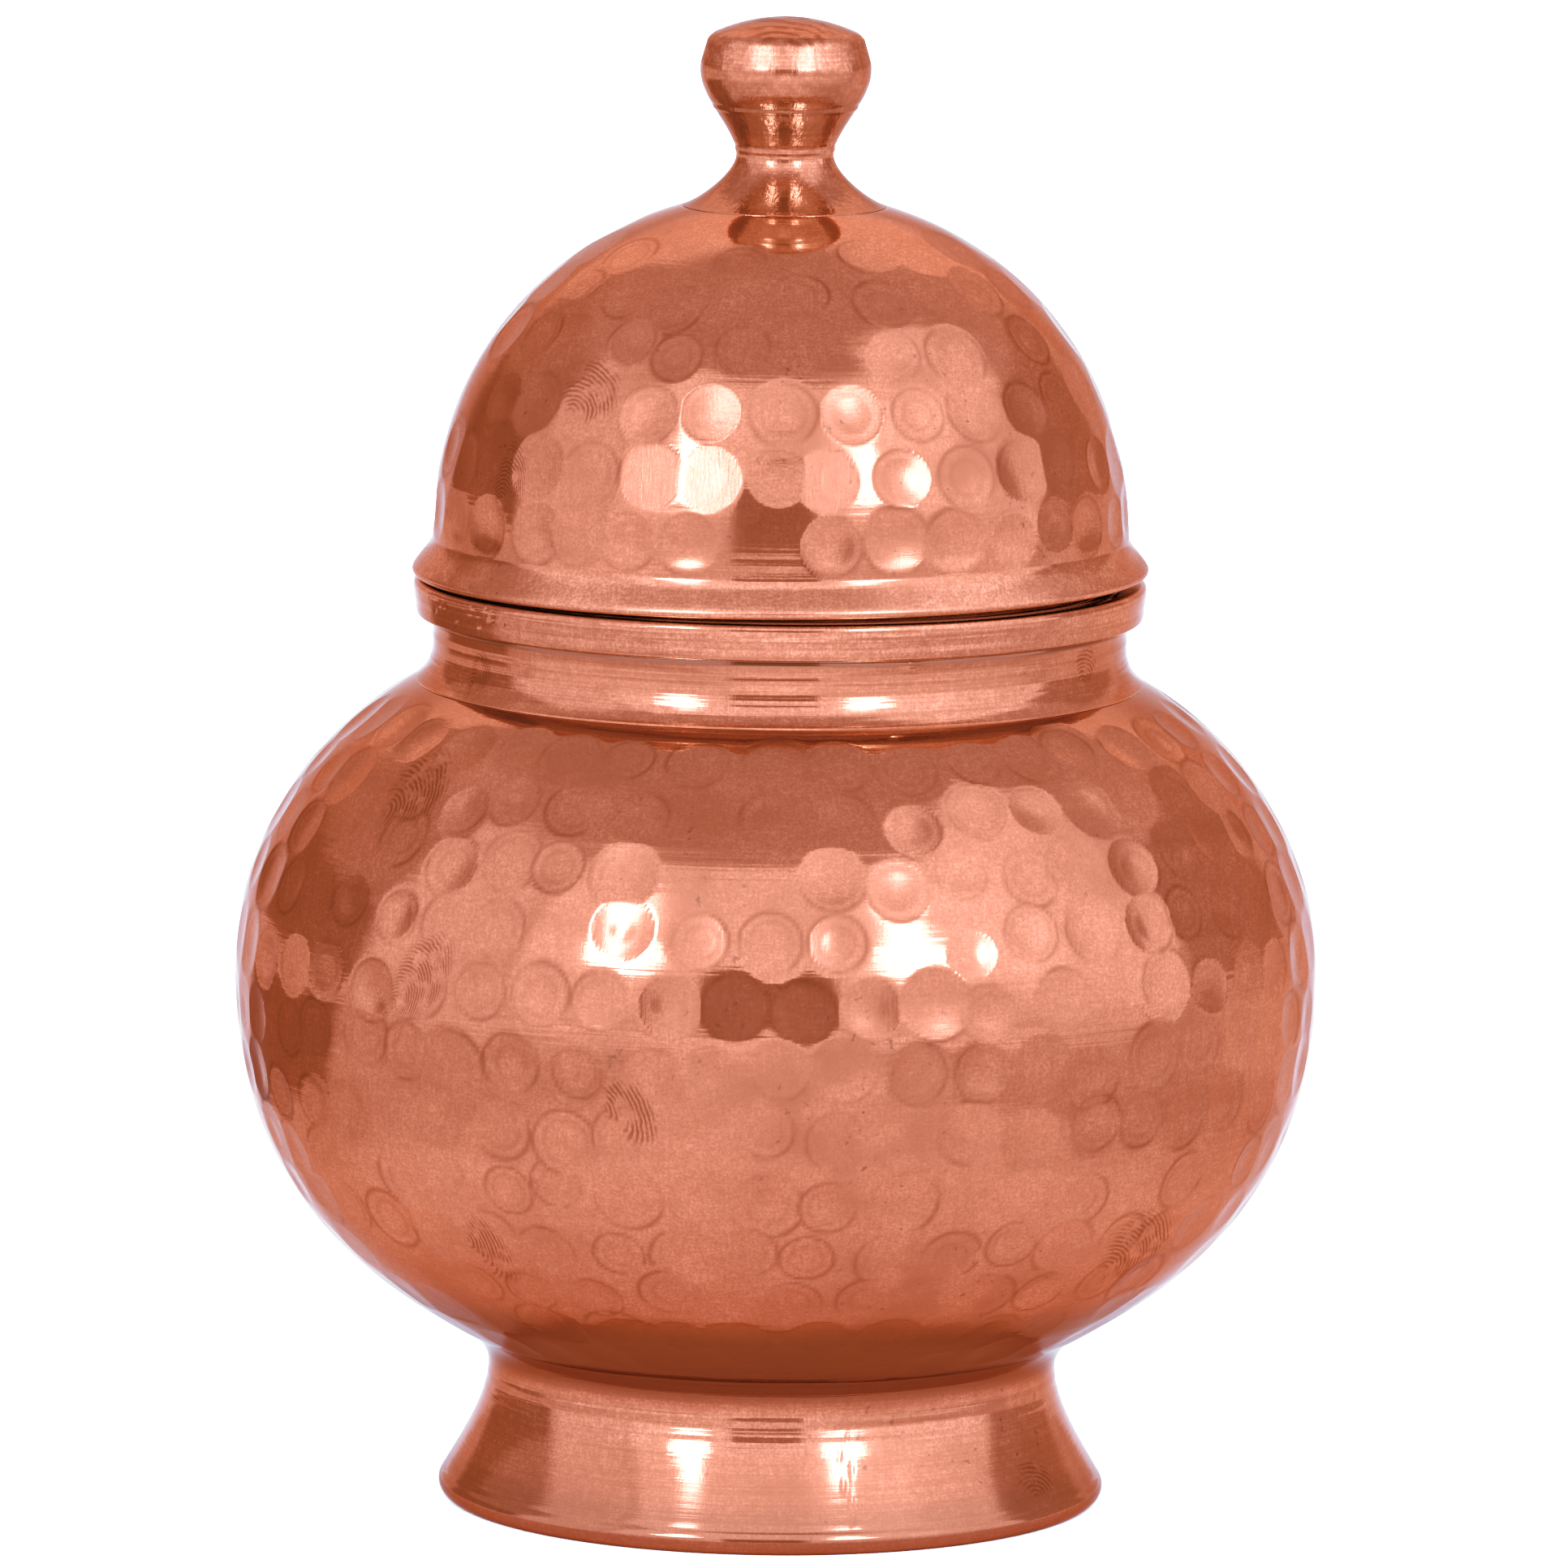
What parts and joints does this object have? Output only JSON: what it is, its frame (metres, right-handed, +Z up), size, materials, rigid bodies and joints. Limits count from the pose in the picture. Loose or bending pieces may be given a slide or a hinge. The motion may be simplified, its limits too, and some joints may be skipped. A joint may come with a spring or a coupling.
{
  "type": "copper water jug with lid",
  "caption": "Round-bellied hammered copper water jug on a flared foot, with a short neck and a domed lift-off lid with a turned knob.",
  "frame": {"origin": "on the axis, at the level of the face that the foot rests on", "axes": "+Z up along the axis of the jug, the neck and the lid; the object is turned, so +X and +Y are any two directions across it"},
  "size_m": [0.15, 0.15, 0.2062],
  "materials": {
    "hammered_copper": "hammered and planished, bright, lightly tarnished",
    "spun_copper": "turned smooth, with fine lathe lines",
    "turned_copper": "turned bright, polished on the edges",
    "copper_wire": "drawn, dull",
    "solder": "grey tin solder, dull",
    "steel_fixing": "bright zinc plated"
  },
  "bodies": {
    "jug": {"belly_shell": "hammered_copper", "neck_collar": "spun_copper", "mouth_ring": "spun_copper", "foot_ring": "spun_copper", "foot_rim_wire": "copper_wire", "foot_solder": "solder"},
    "lid": {"lid_dome": "hammered_copper", "lid_collar": "spun_copper", "lid_solder": "solder", "knob": "turned_copper", "knob_washer": "steel_fixing", "knob_screw": "steel_fixing"}
  },
  "joints": [
    {"name": "lid_lift", "type": "slide", "parent": "jug", "child": "lid", "axis": [0, 0, 1], "range_m": [0, 0.08]}
  ]
}
